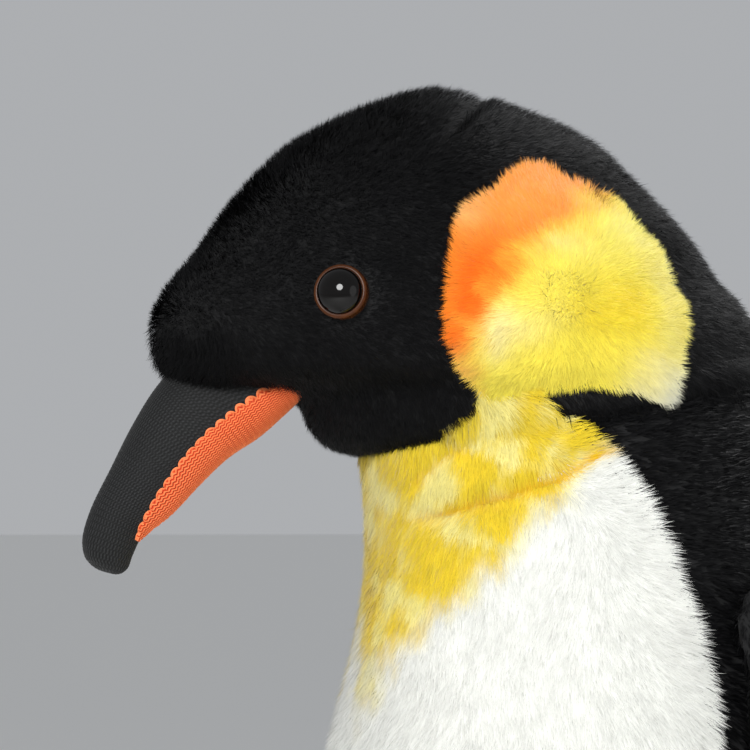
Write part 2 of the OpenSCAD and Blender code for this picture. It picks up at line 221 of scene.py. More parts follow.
def seeds(ob, per_mm2, rng, weight=None):
    """Random places in mm on a skin, with the outward direction there."""
    me = ob.data
    me.calc_loop_triangles()
    co = np.empty(len(me.vertices) * 3, np.float32)
    me.vertices.foreach_get("co", co)
    no = np.empty(len(me.vertices) * 3, np.float32)
    me.vertices.foreach_get("normal", no)
    co, no = co.reshape(-1, 3) / MM, no.reshape(-1, 3)
    tri = np.empty(len(me.loop_triangles) * 3, np.int32)
    me.loop_triangles.foreach_get("vertices", tri)
    tri = tri.reshape(-1, 3)
    a, b, c = (co[tri[:, i]].astype(float) for i in range(3))
    area = np.linalg.norm(np.cross(b - a, c - a), axis=1) / 2
    if weight is not None:
        area = area * weight((a + b + c) / 3)
    count = int(area.sum() * per_mm2)
    pick = rng.choice(len(tri), count, p=area / area.sum())
    r1, r2 = np.sqrt(rng.random((count, 1))), rng.random((count, 1))
    w = (1 - r1, r1 * (1 - r2), r1 * r2)
    places = sum(w[i] * co[tri[pick, i]] for i in range(3))
    facing = unit(sum(w[i] * no[tri[pick, i]] for i in range(3)))
    return places, facing


def pile(name, body, places, facing, length, way, width, tint, finish, rng,
         tuft=1.6, pull=0.45, wild=0.13, root_shade=0.78, stand=0.7, guard=0.0):
    """One object of blades. way leans the tips along the skin, and tint is each blade's colour."""
    n = len(places)
    length = (np.broadcast_to(length, n) * rng.uniform(0.75, 1.12, n))[:, None]
    width = (np.broadcast_to(width, n) * rng.uniform(0.7, 1.3, n))[:, None]
    way = way - facing * np.sum(way * facing, 1, keepdims=True)
    upright = (stand + 1.2 * (rng.random((n, 1)) < guard)) * facing
    first = unit(upright + 0.8 * way + rng.normal(size=(n, 3)) * wild)
    last = unit(0.55 * upright + 1.1 * way + rng.normal(size=(n, 3)) * wild * 1.6)
    root = places - facing * 0.4
    mid = root + first * length * 0.5
    tip = mid + last * length * 0.5
    warped = places + 0.4 * tuft * np.sin(places[:, [1, 2, 0]] * 2.1 / tuft + rng.uniform(0, 6, 3))
    _, cell = np.unique(np.floor(warped / tuft).astype(np.int64) @ np.array([1, 4001, 16008001]),
                        return_inverse=True)
    members = np.bincount(cell)[:, None]
    for p, share in ((tip, pull), (mid, pull * 0.3)):
        middle = np.stack([np.bincount(cell, p[:, k]) for k in range(3)], 1) / members
        p += (middle[cell] - p) * share * rng.uniform(0.4, 1.2, (n, 1))
    shade = rng.uniform(0.93, 1.04, (len(members), 1))[cell] * rng.uniform(0.88, 1.06, (n, 1))
    side = unit(np.cross(first, facing + rng.normal(size=(n, 3)) * 0.05))
    roll = rng.normal(size=(n, 1)) * 0.25
    side = side * np.cos(roll) + np.cross(first, side) * np.sin(roll)
    half = side * width / 2
    co = np.stack([root, mid + half, mid - half, tip], 1) * MM
    co[..., 2] = np.maximum(co[..., 2], 0.0003)
    lean = facing + 0.35 * rng.normal(size=(n, 1)) * side + 0.3 * (last - facing)
    normal = np.stack([lean, lean + 0.35 * side, lean - 0.35 * side, lean + 0.2 * last], 1)
    # Each blade is painted darker at its root as painted shade deep in the pile, and a little lighter at its
    # tip as painted light on the tips.
    root_shade_tip_light = np.array([root_shade, 1.0, 1.0, 1.06])[None, :, None]
    colour = np.concatenate([np.clip((tint * shade)[:, None, :] * root_shade_tip_light, 0, 1), np.ones((n, 4, 1))], 2)

    me = bpy.data.meshes.new(name)
    me.vertices.add(4 * n)
    me.vertices.foreach_set("co", co.reshape(-1).astype(np.float32))
    me.loops.add(6 * n)
    corner = (np.array([0, 1, 2, 2, 1, 3])[None] + 4 * np.arange(n)[:, None]).reshape(-1)
    me.loops.foreach_set("vertex_index", corner.astype(np.int32))
    me.polygons.add(2 * n)
    me.polygons.foreach_set("loop_start", (3 * np.arange(2 * n)).astype(np.int32))
    me.polygons.foreach_set("use_smooth", np.ones(2 * n, bool))
    me.update(calc_edges=True)
    cells = math.ceil(math.sqrt(n))
    cell_at = np.stack([np.arange(n) % cells, np.arange(n) // cells], 1)[:, None, :]
    spot = np.array([[.5, .1], [.8, .5], [.2, .5], [.2, .5], [.8, .5], [.5, .9]])[None]
    uv = ((cell_at + spot) / cells).reshape(-1).astype(np.float32)
    me.uv_layers.new(name="OFBake").data.foreach_set("uv", uv)
    tints = me.attributes.new("tint", "FLOAT_COLOR", "POINT").data
    tints.foreach_set("color", colour.reshape(-1).astype(np.float32))
    me.normals_split_custom_set_from_vertices(unit(normal).reshape(-1, 3))
    me.materials.append(finish)
    ob = bpy.data.objects.new(name, me)
    bpy.context.scene.collection.objects.link(ob)
    # Pale fibres let light through to one another, so they cast no hard shadows.
    ob.visible_shadow = finish.name.startswith("black")
    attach(ob, body)
    return ob


def dye(ob, colour_at):
    """Gives a skin the colour of the pile that grows from it."""
    me = ob.data
    co = np.empty(len(me.vertices) * 3, np.float32)
    me.vertices.foreach_get("co", co)
    tint = colour_at(co.reshape(-1, 3) / MM)
    full = np.concatenate([tint, np.ones((len(tint), 1))], 1)
    tints = me.attributes.new("tint", "FLOAT_COLOR", "POINT").data
    tints.foreach_set("color", full.reshape(-1).astype(np.float32))


def material(name, **values):
    m = bpy.data.materials.new(name)
    m.use_nodes = True
    b = m.node_tree.nodes["Principled BSDF"]
    for key, value in values.items():
        b.inputs[key.replace("_", " ")].default_value = value
    return m, m.node_tree, b


def effect(name, **inputs):
    """An empty shader node group with named inputs and one colour output."""
    group = bpy.data.node_groups.new(name, "ShaderNodeTree")
    for key, value in inputs.items():
        kind = "NodeSocketColor" if isinstance(value, tuple) else "NodeSocketFloat"
        group.interface.new_socket(key, in_out="INPUT", socket_type=kind).default_value = value
    group.interface.new_socket("Color", in_out="OUTPUT", socket_type="NodeSocketColor")
    return group, group.nodes.new("NodeGroupInput").outputs, group.nodes.new("NodeGroupOutput").inputs


def colour_by(nt, b, group, **values):
    """Places an effect in a material with its own values, as its base colour."""
    node = nt.nodes.new("ShaderNodeGroup")
    node.node_tree = group
    for key, value in values.items():
        node.inputs[key].default_value = value
    nt.links.new(node.outputs["Color"], b.inputs["Base Color"])


def noise(nt, scale, detail=2.0):
    """A noise pattern on the object's own coordinates."""
    place = nt.nodes.new("ShaderNodeTexCoord")
    grain = nt.nodes.new("ShaderNodeTexNoise")
    grain.inputs["Detail"].default_value = detail
    nt.links.new(place.outputs["Object"], grain.inputs["Vector"])
    if isinstance(scale, (int, float)):
        grain.inputs["Scale"].default_value = scale
    else:
        nt.links.new(scale, grain.inputs["Scale"])
    return grain.outputs["Fac"]


def times(nt, colour, factor):
    """A colour multiplied by a factor."""
    mix = nt.nodes.new("ShaderNodeMix")
    mix.data_type, mix.blend_type = "RGBA", "MULTIPLY"
    mix.inputs["Factor"].default_value = 1
    nt.links.new(colour, mix.inputs["A"])
    nt.links.new(factor, mix.inputs["B"])
    return mix.outputs["Result"]


# The colour of each blade: its dye, with the painted shade at its root and painted light at its tip given by
# pile, and a slow drift of tone over the cloth.
dyed, _, out = effect("fibre_dye_and_painted_light")
tint = dyed.nodes.new("ShaderNodeAttribute")
tint.attribute_name = "tint"
span = dyed.nodes.new("ShaderNodeMapRange")
span.inputs["To Min"].default_value = 0.9
span.inputs["To Max"].default_value = 1.08
dyed.links.new(noise(dyed, 90, 3), span.inputs["Value"])
dyed.links.new(times(dyed, tint.outputs["Color"], span.outputs["Result"]), out["Color"])


def pile_material(name, rough, sheen, glint):
    m, nt, b = material(name, Roughness=rough, Sheen_Weight=sheen, Sheen_Roughness=0.4)
    b.inputs["Specular IOR Level"].default_value = glint
    colour_by(nt, b, dyed)
    return m


def backing_material(name):
    """The woven backing under the pile, dyed with it and darker between its threads."""
    m, nt, b = material(name, Roughness=0.9)
    place = nt.nodes.new("ShaderNodeTexCoord")
    tint = nt.nodes.new("ShaderNodeAttribute")
    tint.attribute_name = "tint"
    weave = nt.nodes.new("ShaderNodeTexVoronoi")
    weave.inputs["Scale"].default_value = 1400
    span = nt.nodes.new("ShaderNodeMapRange")
    span.inputs["From Max"].default_value = 0.6
    span.inputs["To Min"].default_value = 1.0
    span.inputs["To Max"].default_value = 0.7
    nt.links.new(place.outputs["Object"], weave.inputs["Vector"])
    nt.links.new(weave.outputs["Distance"], span.inputs["Value"])
    nt.links.new(times(nt, tint.outputs["Color"], span.outputs["Result"]), b.inputs["Base Color"])
    return m


# A soft mottle between two tones.
mottle, given, out = effect("mottle", Scale=100.0, Low=(0.5, 0.5, 0.5, 1), High=(0.8, 0.8, 0.8, 1))
mix = mottle.nodes.new("ShaderNodeMix")
mix.data_type = "RGBA"
mottle.links.new(noise(mottle, given["Scale"]), mix.inputs["Factor"])
mottle.links.new(given["Low"], mix.inputs["A"])
mottle.links.new(given["High"], mix.inputs["B"])
mottle.links.new(mix.outputs["Result"], out["Color"])

pale_pile = pile_material("pale_pile", 0.8, 0.2, 0.15)
black_pile = pile_material("black_pile", 0.6, 0.0, 0.1)
backing = backing_material("backing")

WHITE = np.array([0.90, 0.905, 0.86])
YELLOW = np.array([0.86, 0.66, 0.035])
STRAW = np.array([0.92, 0.83, 0.30])
BLACK = np.array([0.0050, 0.0050, 0.0055])


def blend(a, b, t):
    return a + (b - a) * np.asarray(t)[..., None]


def bib_tint(p):
    """White with a mottled yellow throat that fades along a slant; in the folds the yellow reaches further
    and is painted a deeper orange as painted shade.
    """
    q, z = across(p), p[:, 2]
    slant = np.interp(z, [226, 233, 240, 251, 259, 268, 280, 294.5, 300],
                      [-67, -61, -56, -50, -42, -31, -19, -5, 4])
    strength = smooth(2.5, -9, q - slant + 2.6 * sway(p, 9, 11) + 1.6 * sway(p, 3.2, 12))
    front = np.interp(z, [226, 240, 258, 268, 278], [-59, -59, -58, -61, -72])
    strength = strength * smooth(front - 2, front + 2, q + 1.2 * sway(p, 4, 15))
    yellow = blend(YELLOW, STRAW, smooth(-0.35, 0.8, sway(p, 6.5, 13) + 0.35 * sway(p, 2.4, 14)))
    # Along the folds the yellow is pushed further over the white, and the deeper orange mixed in there is
    # painted shade in the creases.
    deep = np.clip(fold(p) / 2.6, 0, 1)
    yellow = blend(yellow, np.array([0.90, 0.52, 0.02]), 0.7 * deep)
    return blend(coloured(WHITE, p), yellow, np.clip(strength + 0.7 * deep, 0, 1))


def down(p):
    """Brushed down the body, and outward and up where the bib ends beside the neck."""
    q, z = across(p), p[:, 2]
    near = smooth(20, 0, bib_edge(z) - q)
    flow = np.zeros_like(p)
    flow[:, 1] = 0.12 + 0.9 * near * smooth(140, 250, z)
    flow[:, 0] = np.sign(p[:, 0]) * 0.25 * near
    flow[:, 2] = -1 + near * (0.75 * smooth(225, 262, z) + 0.35 * smooth(262, 284, z))
    return unit(flow + 0.22 * np.stack([sway(p, 11, 71), sway(p, 11, 72), sway(p, 11, 73)], 1))


rng = np.random.default_rng(7)
chest_z, belly_z = 224, 130

# The chest has the densest pile; the belly and the back are a little sparser.
places, facing = seeds(bib_skin, 10, rng, lambda p: np.where(p[:, 2] > chest_z, 1.0, np.where(
    p[:, 2] > belly_z, 0.30, 0.25)))
length = np.interp(places[:, 2], [0, 200, 280, 305], [5.6, 6.0, 5.8, 4.8]) + 1.6 * smooth(
    9, 0, bib_edge(places[:, 2]) - across(places))
way = down(places)
width = np.where(places[:, 2] > chest_z, 0.175, 0.34)
tint = bib_tint(places)
for side, word in ((1, "left"), (-1, "right")):
    for part, first, last in (("chest", chest_z, 400), ("belly", belly_z, chest_z), ("rump", -10, belly_z)):
        keep = (places[:, 0] * side >= 0) & (places[:, 2] > first) & (places[:, 2] <= last)
        pile(f"bib_{part}_pile_{word}", "torso", places[keep], facing[keep], length[keep], way[keep],
             width[keep], tint[keep], pale_pile, rng, tuft=2.0, pull=0.35)
dye(bib_skin, bib_tint)
bib_skin.data.materials.append(backing)
lined(bib_skin)
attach(bib_skin, "torso")

for skin, word in zip(back_skins, ("left", "right")):
    places, facing = seeds(skin, 1.6, rng)
    pile("back_pile_" + word, "torso", places, facing, 4.4, down(places), 0.38,
         coloured(BLACK, places), black_pile, rng, guard=0.04)
    dye(skin, lambda p: coloured(BLACK, p))
    skin.data.materials.append(backing)
    lined(skin)
    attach(skin, "torso")


# ---------------------------------------------------------------- head
# The head is a second bag: two black cheeks joined over the forehead, a dyed
# patch behind each cheek, and a black piece from the crown down the nape.
low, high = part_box("head_filling")
head_half = (high.x - low.x) / 2 / MM + 3.2
head_rows = np.array([
    [neck_z - 1.5, 9, -9, 0.95 * head_half, 52, 46.5, 0.18],
    [neck_z + 1.0, 9, -10, 0.985 * head_half, 58, 47, 0.20],
    [neck_z + 4.5, 8.5, -12, head_half, 60, 48, 0.22],
    [neck_z + 9, 4.5, -16, head_half, 62, 49, 0.24],
    [neck_z + 14.5, 4.5, -20, 0.99 * head_half, 81, 50, 0.25],
    [neck_z + 21, 3.5, -25, 0.98 * head_half, 83, 51, 0.24],
    [neck_z + 28, 2, -29, 0.95 * head_half, 77, 49.5, 0.22],
    [neck_z + 36, 1, -33, 0.89 * head_half, 65, 48.5, 0.18],
    [neck_z + 45, 0, -36, 0.80 * head_half, 55, 44, 0.12],
    [neck_z + 53, 0, -39, 0.68 * head_half, 45, 39.5, 0.08],
    [neck_z + 60.5, 0, -41, 0.54 * head_half, 33.5, 33, 0.04],
    [neck_z + 66.5, 0, -42, 0.38 * head_half, 22, 22, 0],
    [neck_z + 71, 0, -43, 0.20 * head_half, 10, 11, 0],
    [neck_z + 73, 0, -43, 0.002, 0.01, 0.01, 0],
])
crown_row = len(head_rows) - 1

# Outline of an ear patch, in mm across and up.
ear_outline = np.array([
    [-33, 309.5], [-33.5, 312], [-35.8, 315], [-38, 319], [-39, 322], [-38.8, 331], [-38, 341], [-36.8, 346],
    [-35.5, 350], [-29.5, 353], [-26.5, 356.5], [-22.8, 359], [-19.4, 359], [-15.6, 357], [-10, 355],
    [-5, 352.6], [-0.8, 349], [3, 344.6], [6.3, 340.4], [9.4, 334], [12, 328.5], [12.3, 323.4],
    [11.2, 318.8], [10.5, 311.2], [10, 307.3], [6.5, 308.5], [0, 311], [-5.4, 312], [-10, 312.4],
    [-15.6, 311.7], [-20.5, 310.5], [-25, 309.8],
])


def inside(outline, y, z):
    """Signed distance in mm to a closed outline, positive inside it."""
    a, b = outline, np.roll(outline, -1, 0)
    q = np.stack([y, z], -1)[:, None, :]
    ab = (b - a)[None]
    t = np.clip(np.sum((q - a) * ab, -1) / np.sum(ab * ab, -1), 0, 1)
    gap = np.linalg.norm(q - (a + t[..., None] * ab), axis=-1).min(1)
    cross = ((a[None, :, 1] > q[..., 1]) != (b[None, :, 1] > q[..., 1])) & (
        q[..., 0] < a[None, :, 0] + (b - a)[None, :, 0] * (q[..., 1] - a[None, :, 1]) / (
            (b - a)[None, :, 1] + 1e-9))
    return np.where(cross.sum(1) % 2 == 1, gap, -gap)


def jaw_line(q):
    """Height of the lower edge of the black cheek."""
    return np.interp(q, [-70, -61, -55, -48, -43.5, -42, -38.5, -35, -34, -33],
                     [290, 291.5, 293.5, 294.5, 296, 300, 302.5, 304.5, 308, 330])


def head_at(u, v):
    p, n = on_form(head_rows, u, v), away(head_rows, u, np.clip(v, 0, crown_row - 0.05))
    lump = 0.7 * sway(p, 30, 21) * smooth(neck_z, neck_z + 15, p[..., 2])
    dent = 1.5 * np.exp(-((p[..., 1] + 33 + 0.02 * p[..., 0] ** 2) / 1.6) ** 2) * smooth(364, 371, p[..., 2])
    flat = p.reshape(-1, 3)
    puff = 1.6 * smooth(-1, 7, inside(ear_outline, across(flat), flat[:, 2])).reshape(p.shape[:-1])
    return p + n * (lump - dent + puff)[..., None]


def head_band(first, last):
    """Maps the unit square to the part of the head between two angles at each row."""
    return lambda s, t: head_at(first(t * crown_row) * (1 - s) + last(t * crown_row) * s, t * crown_row)


def ear_front(v):
    return np.interp(v, [0, 2, 3, 5, 6, 7, 8, 9, 10, 13], [64, 66, 69, 74, 77, 80, 84, 95, 103, 104])


head_skins = [
    laid_on("cheek_skin_left", 64, 90, head_band(lambda v: 0 * v, ear_front)),
    laid_on("cheek_skin_right", 64, 90, head_band(lambda v: -ear_front(v), lambda v: 0 * v)),
    laid_on("nape_skin", 130, 90, head_band(ear_front, lambda v: 360 - ear_front(v))),
]
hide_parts("cheek_left")
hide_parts("cheek_right")
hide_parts("nape_panel")


def head_zone(p):
    """0 on black plush, 1 on an ear patch, 2 on the yellow tab under it."""
    q, z = across(p), p[:, 2]
    ragged = 0.4 * sway(p, 2.2, 31)
    ear = inside(ear_outline, q, z) + ragged > 0
    tab = (z < jaw_line(q) + ragged) & (z < 311) & (q < bib_edge(z) + ragged) & (np.abs(p[:, 0]) > 10)
    return np.where(ear, 1, np.where(tab, 2, 0))


# Blots of dye on an ear patch: mm across and up, reach across and up, colour, strength.
ear_blots = [
    (-4, 328, 9, 6, (0.97, 0.76, 0.03), 0.8), (-15.5, 340, 6, 4, (0.94, 0.87, 0.34), 0.7),
    (-18.5, 328, 6, 5, (0.84, 0.74, 0.18), 0.6), (-26.5, 324, 5, 7, (0.94, 0.83, 0.42), 0.8),
    (-14, 315, 9, 4, (0.95, 0.80, 0.09), 0.6), (-2, 345, 8, 6, (0.96, 0.87, 0.22), 0.6),
    (9, 309, 8, 7, (0.90, 0.90, 0.80), 0.95), (12, 321, 4, 9, (0.94, 0.88, 0.36), 0.5),
    (8, 337, 4, 6, (0.94, 0.88, 0.36), 0.5),
]


def ear_tint(p):
    """Orange along the front and over the top, mottled yellow behind, and white at the lower back."""
    q, z = across(p), p[:, 2]
    wq, wz = q + 1.8 * sway(p, 5, 44), z + 1.8 * sway(p, 5, 45)
    colour = coloured(np.array([0.96, 0.82, 0.09]), p)
    for cq, cz, rq, rz, blot, strength in ear_blots:
        spread = np.exp(-((wq - cq) / rq) ** 2 - ((wz - cz) / rz) ** 2)
        colour = blend(colour, np.array(blot), strength * spread)
    reach = np.interp(z, [309, 318, 326, 333, 340, 347, 354, 361], [-35, -34, -31.5, -27, -21, -12, -5, -2])
    noise = 2.2 * sway(p, 6, 41) + 1.3 * sway(p, 2.6, 42)
    warm = blend(np.array([0.96, 0.26, 0.02]), np.array([0.97, 0.37, 0.06]), smooth(336, 352, z))
    peach = np.exp(-((wq + 34.5) / 4.5) ** 2 - ((wz - 349) / 4) ** 2) + 0.6 * np.exp(
        -((wq + 34) / 3) ** 2 - ((wz - 315) / 5) ** 2)
    warm = blend(warm, np.array([0.95, 0.50, 0.16]), np.clip(peach, 0, 1) * 0.85)
    deep = np.exp(-((wq - np.interp(wz, [318, 340], [-38, -29])) / 4) ** 2 - ((wz - 330) / 9) ** 2)
    warm = blend(warm, np.array([1.0, 0.15, 0.006]), np.clip(1.2 * deep, 0, 0.9))
    gold = np.array([0.96, 0.60, 0.06])
    colour = blend(colour, gold, 0.75 * smooth(11, 1, q - reach + noise) * smooth(322, 334, z))
    return blend(colour, warm, smooth(5.5, -6.5, q - reach + noise))


def backward(p, facing):
    """Brushed back over the crown and down the nape, and down over the beak at the brow."""
    y, z = p[:, 1], p[:, 2]
    flow = np.stack([p[:, 0] * 0.004, np.ones(len(p)),
                     -0.25 - 0.6 * smooth(-30, 10, y) - 1.5 * smooth(322, 304, z)], 1)
    brow = smooth(-86, -98, y) * smooth(328, 316, z)
    forward = np.stack([p[:, 0] * 0.01, -0.5 * np.ones(len(p)), -1.0 * np.ones(len(p))], 1)
    flow = unit(flow) * (1 - brow)[:, None] + unit(forward) * brow[:, None]
    return unit(flow + 0.25 * np.stack([sway(p, 9, 81), sway(p, 9, 82), sway(p, 9, 83)], 1))


# The head's black pieces are bare where the eyes sit.
eye_at = {side: (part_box("eye_iris_" + word)[0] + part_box("eye_iris_" + word)[1]) / 2 / MM
          for side, word in ((1, "left"), (-1, "right"))}


def head_density(p, black):
    """How thickly a place on the head grows, more at the whorl of an ear patch."""
    whorl = np.exp(-((across(p) + 15) ** 2 + (p[:, 2] - 331) ** 2) / 50)
    return np.select([head_zone(p) == 1, head_zone(p) == 2], [1 + 0.6 * whorl, 0.62], black)


for skin, name in zip(head_skins, ("cheek_left", "cheek_right", "nape")):
    dye(skin, lambda p: np.where((head_zone(p) == 1)[:, None], ear_tint(p), np.where(
        (head_zone(p) == 2)[:, None], bib_tint(p), BLACK[None])))
    skin.data.materials.append(backing)
    lined(skin)
    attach(skin, "head")
    density, share = (22, 0.26) if name == "nape" else (10, 1.0)
    places, facing = seeds(skin, density, rng, lambda p: head_density(p, share))
    zone = head_zone(places)
    eye_gap = np.min([np.linalg.norm(places - np.array(at), axis=1) for at in eye_at.values()], 0)
    keep = (zone == 0) & (eye_gap > 5.9)
    black, eye_gap = places[keep], eye_gap[keep]
    brow = smooth(-88, -99, black[:, 1]) * smooth(328, 316, black[:, 2])
    edge = smooth(6, 1, -inside(ear_outline, across(black), black[:, 2]))
    crown = smooth(340, 365, black[:, 2])
    seam = smooth(320, 308, black[:, 2]) * smooth(-34, -24, black[:, 1])
    length = (3.0 + 2.2 * brow + 0.8 * smooth(-25, 15, black[:, 1]) + 0.9 * crown + 3.6 * seam) * (
        1 - 0.5 * edge) * (0.5 + 0.5 * smooth(6, 10, eye_gap))
    pile(name + "_pile", "head", black, facing[keep], length, backward(black, facing[keep]), 0.15,
         coloured(BLACK, black), black_pile, rng, tuft=1.1, pull=0.3, wild=0.22,
         stand=(0.9 + 0.5 * crown + 0.5 * brow - 0.65 * seam)[:, None], guard=0.06)
    if name == "nape":
        ears_at, ears_facing = places[zone == 1], facing[zone == 1]
    tab_at, tab_facing = places[zone == 2], facing[zone == 2]
    if len(tab_at) > 10:
        low = smooth(312, 305, tab_at[:, 2])
        way = down(tab_at) + np.array([0, 0.1, -0.9]) * low[:, None]
        pile("throat_pile_" + name, "head", tab_at, tab_facing, 4.6 + 3.0 * low, unit(way), 0.17,
             bib_tint(tab_at), pale_pile, rng)


# ---------------------------------------------------------------- ear patches
# An ear patch is a piece of longer plush, dyed orange and yellow, let into
# each side of the head. Its pile spreads outward over the black around it.
for side, word in ((1, "left"), (-1, "right")):
    mine = ears_at[:, 0] * side > 0
    p, facing = ears_at[mine], ears_facing[mine]
    q = across(p)
    out = np.stack([np.zeros(len(p)), q + 15, p[:, 2] - 331], 1)
    far = smooth(1, 10, np.linalg.norm(out, axis=1))[:, None]
    way = unit(out) * far + unit(rng.normal(size=p.shape)) * (1 - far) + 0.35 * np.stack(
        [sway(p, 6, 91), sway(p, 6, 92), sway(p, 6, 93)], 1)
    rim = smooth(5, 0, inside(ear_outline, q, p[:, 2]))
    pile("ear_pile_" + word, "head", p, facing, 4.2 + 0.4 * rim, way, 0.165, ear_tint(p), pale_pile, rng,
         tuft=1.5, pull=0.35, root_shade=0.85, stand=0.45 + 0.25 * far)

    # The patch itself is the part of the head's skin that lies inside its outline.
    me = head_skins[2].data.copy()
    bm = bmesh.new()
    bm.from_mesh(me)
    centres = np.array([f.calc_center_median()[:] for f in bm.faces]) / MM
    other = (head_zone(centres) != 1) | (centres[:, 0] * side < 0)
    bmesh.ops.delete(bm, geom=[f for f, gone in zip(bm.faces, other) if gone], context="FACES")
    bmesh.ops.translate(bm, verts=bm.verts, vec=(side * 0.0002, 0, 0))
    bm.to_mesh(me)
    bm.free()
    patch = bpy.data.objects.new("ear_skin_" + word, me)
    bpy.context.scene.collection.objects.link(patch)
    lined(patch)
    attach(patch, "head")
    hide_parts("ear_patch_" + word)


# ---------------------------------------------------------------- beak
# The beak is a stuffed sleeve of fine black ribbed knit. Its ribs run along
# the sleeve at a slant, under a millimetre apart, in small zigzags.
beak_half = (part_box("beak_cover")[1].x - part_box("beak_cover")[0].x) / 2 / MM
tip_z = neck_z - 37.5
beak_rows = np.array([
    [tip_z - 0.05, -15, -119.3, 0.01, 0.02, 0.02, 0],
    [tip_z + 0.3, -15, -119.3, 0.18 * beak_half, 2.0, 2.0, 0],
    [tip_z + 1.1, -15, -119.4, 0.31 * beak_half, 3.8, 3.7, 0],
    [tip_z + 2.9, -16, -119.5, 0.43 * beak_half, 5.3, 5.2, 0],
    [tip_z + 6.6, -20, -119.1, 0.51 * beak_half, 6.1, 6.1, 0],
    [tip_z + 12.2, -28, -116.7, 0.60 * beak_half, 6.8, 6.6, 0],
    [tip_z + 19.0, -35, -111.5, 0.72 * beak_half, 8.5, 8.2, 0],
    [tip_z + 26.4, -40, -105.2, 0.85 * beak_half, 11.0, 8.6, 0],
    [tip_z + 32.5, -45, -97.7, 0.96 * beak_half, 14.4, 7.8, 0],
    [tip_z + 37.5, -48, -90.0, beak_half, 16.6, 7.6, 0],
    [tip_z + 41.6, -50, -83.5, beak_half, 16.0, 6.4, 0],
    [tip_z + 46.6, -54, -75.5, 0.92 * beak_half, 14.0, 4.6, 0],
])
beak_last = len(beak_rows) - 1


def zigzag(x):
    return np.abs((x % 1) * 2 - 1) * 2 - 1


# Length of the beak's side from its tip to each row, in mm.
ridge = on_form(beak_rows, 90, np.linspace(0, beak_last, 400))
run = np.concatenate([[0], np.cumsum(np.linalg.norm(np.diff(ridge, axis=0), axis=1))])


def along(v):
    return np.interp(v, np.linspace(0, beak_last, 400), run)


def girth(u, v):
    """Distance in mm around the beak from its ridge."""
    rows = np.arange(beak_last + 1)
    mean = np.interp(v, rows, beak_rows[:, 3] + (beak_rows[:, 4] + beak_rows[:, 5]) / 2) / 2
    return np.radians(np.abs(u)) * mean


def knit(u, v, pitch):
    """Height of the knit, from 0 in a groove to 1 on a rib: zigzag ribs that slant along the beak."""
    up = along(v)
    slant = np.interp(up, [0, 12, 30, 46, 60, 70], [0, 9.5, 19.5, 19.5, 14.5, 12])
    rib = (girth(u, v) - slant + 0.24 * zigzag(up / 1.45)) / pitch
    return np.abs(np.sin(np.pi * rib)) ** 0.8 * (0.86 + 0.14 * np.cos(2 * np.pi * up / 0.72))


def beak_at(u, v, lift):
    out = away(beak_rows, u, np.clip(v, 0.2, beak_last))
    return on_form(beak_rows, u, v) + out * np.asarray(lift)[..., None]


def beak_place(s, t):
    # The sheet's rows are spread evenly along the beak, so that its stitches stay even.
    u, v = 360 * s - 180, np.interp(t * run[-1], run, np.linspace(0, beak_last, 400))
    return beak_at(u, v, 0.26 * knit(u, v, 0.78) * smooth(0, 1.2, v) - 0.1)


def sheet_uv(me):
    """Where each vertex of a laid sheet lies on the unit square."""
    uvs = np.empty(len(me.loops) * 2, np.float32)
    me.uv_layers["OFBake"].data.foreach_get("uv", uvs)
    vert = np.empty(len(me.loops), np.int32)
    me.loops.foreach_get("vertex_index", vert)
    st = np.zeros((len(me.vertices), 2))
    st[vert] = uvs.reshape(-1, 2)
    return st[:, 0], st[:, 1]


# Yarn is painted darker in the grooves as painted shade, and lighter along the top of each stitch as a
# painted highlight.
yarn_and_painted_light, given, out = effect("yarn_and_painted_light", Groove=(0.1, 0.1, 0.1, 1), Rib=(0.2, 0.2, 0.2, 1), Crest=(0.4, 0.4, 0.4, 1))
rib = yarn_and_painted_light.nodes.new("ShaderNodeAttribute")
rib.attribute_name = "rib"
fluff = yarn_and_painted_light.nodes.new("ShaderNodeMix")
fluff.inputs["Factor"].default_value = 0.2
yarn_and_painted_light.links.new(rib.outputs["Fac"], fluff.inputs["A"])
yarn_and_painted_light.links.new(noise(yarn_and_painted_light, 2600), fluff.inputs["B"])
tone = given["Groove"]
for low, high, shade in ((0.22, 0.6, "Rib"), (0.6, 0.85, "Crest")):
    span = yarn_and_painted_light.nodes.new("ShaderNodeMapRange")
    span.inputs["From Min"].default_value, span.inputs["From Max"].default_value = low, high
    mix = yarn_and_painted_light.nodes.new("ShaderNodeMix")
    mix.data_type = "RGBA"
    yarn_and_painted_light.links.new(fluff.outputs["Result"], span.inputs["Value"])
    yarn_and_painted_light.links.new(span.outputs["Result"], mix.inputs["Factor"])
    yarn_and_painted_light.links.new(tone, mix.inputs["A"])
    yarn_and_painted_light.links.new(given[shade], mix.inputs["B"])
    tone = mix.outputs["Result"]
yarn_and_painted_light.links.new(tone, out["Color"])


# A knit's groove colour is painted shade and its crest colour a painted highlight, over the yarn's own rib
# colour.
def knit_material(name, groove, rib, crest_highlight):
    m, nt, b = material(name, Roughness=0.7, Sheen_Weight=0.1)
    b.inputs["Specular IOR Level"].default_value = 0.25
    colour_by(nt, b, yarn_and_painted_light, Groove=(*groove, 1), Rib=(*rib, 1), Crest=(*crest_highlight, 1))
    return m


beak = laid_on("beak_knit", 380, 200, beak_place)
s_at, t_at = sheet_uv(beak.data)
height = knit(360 * s_at - 180, np.interp(t_at * run[-1], run, np.linspace(0, beak_last, 400)), 0.78)
beak.data.attributes.new("rib", "FLOAT", "POINT").data.foreach_set("value", height.astype(np.float32))
# The black knit's groove and crest tones are painted shade and a painted highlight.
beak.data.materials.append(knit_material("black_knit", (0.0010, 0.0010, 0.0010), (0.0060, 0.0062, 0.0062),
                                         (0.026, 0.027, 0.028)))
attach(beak, "head")
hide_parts("beak_cover")


